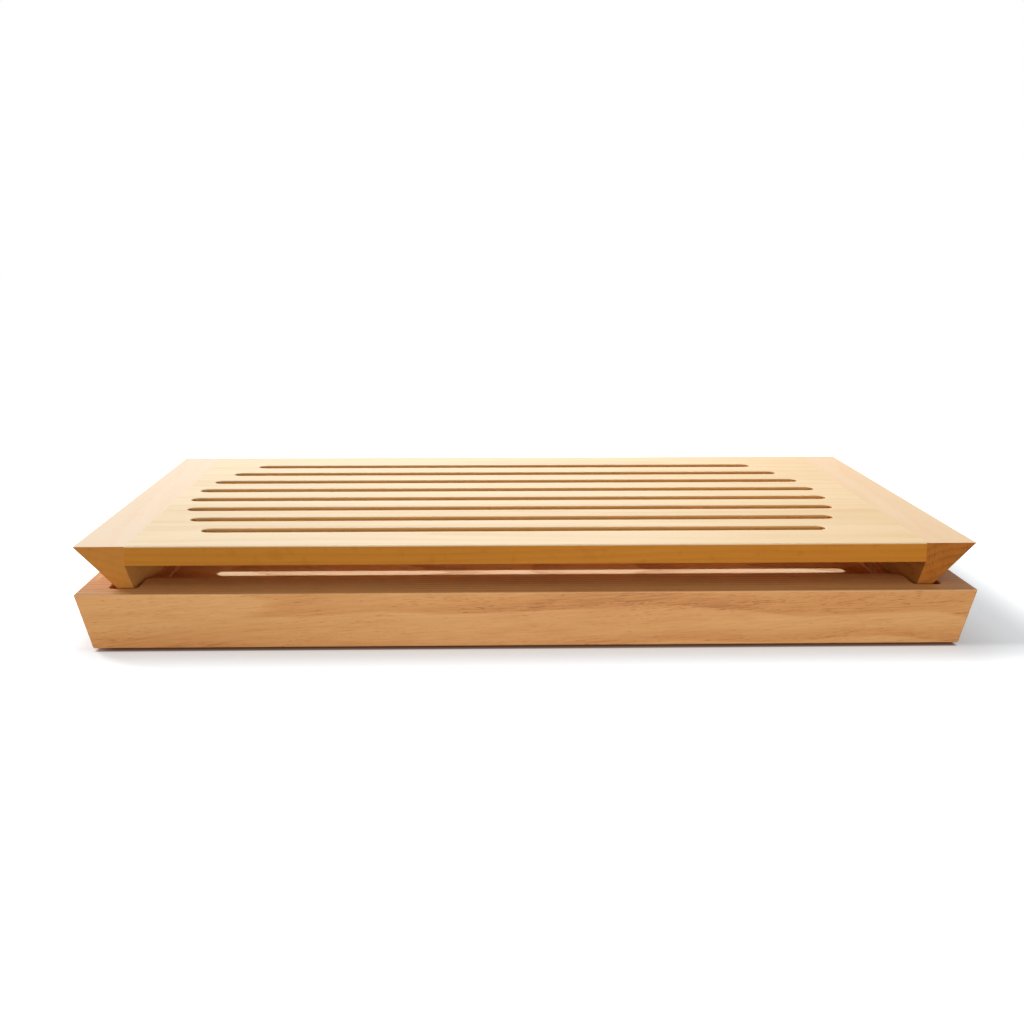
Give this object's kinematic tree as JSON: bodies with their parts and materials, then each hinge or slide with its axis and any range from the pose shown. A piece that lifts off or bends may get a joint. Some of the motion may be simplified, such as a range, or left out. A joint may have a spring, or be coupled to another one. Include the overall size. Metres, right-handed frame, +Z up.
{
  "type": "crumb catcher bread board",
  "caption": "Slotted wooden bread board on slanted end legs that lifts off a shallow wooden tray, which catches what falls through the slots.",
  "frame": {"origin": "middle of the object on the surface it stands on, under the feet", "axes": "+X to the right along the slots, +Y to the back, +Z up; the front faces -Y"},
  "size_m": [0.4196, 0.2884, 0.0455],
  "materials": {
    "panel_wood": "oiled pale beech, fine grain from left to right",
    "rail_wood": "oiled beech, grain from front to back, end grain on the front",
    "dowel_wood": "plain fluted beech dowel",
    "tray_wood": "oiled warm beech with short dark flecks",
    "foot_rubber": "matt black rubber"
  },
  "bodies": {
    "tray": {"tray_stave_front": "tray_wood", "tray_stave_front_inner": "tray_wood", "tray_stave_middle": "tray_wood", "tray_stave_back_inner": "tray_wood", "tray_stave_back": "tray_wood", "foot_front_left": "foot_rubber", "foot_front_right": "foot_rubber", "foot_back_left": "foot_rubber", "foot_back_right": "foot_rubber"},
    "board": {"board_stave_front": "panel_wood", "board_stave_front_inner": "panel_wood", "board_stave_middle": "panel_wood", "board_stave_back_inner": "panel_wood", "board_stave_back": "panel_wood", "left_end_rail": "rail_wood", "right_end_rail": "rail_wood", "left_dowels": "dowel_wood", "right_dowels": "dowel_wood"}
  },
  "joints": [
    {"name": "board_lift", "type": "slide", "parent": "tray", "child": "board", "axis": [0, 0, 1], "range_m": [0, 0.1]}
  ]
}
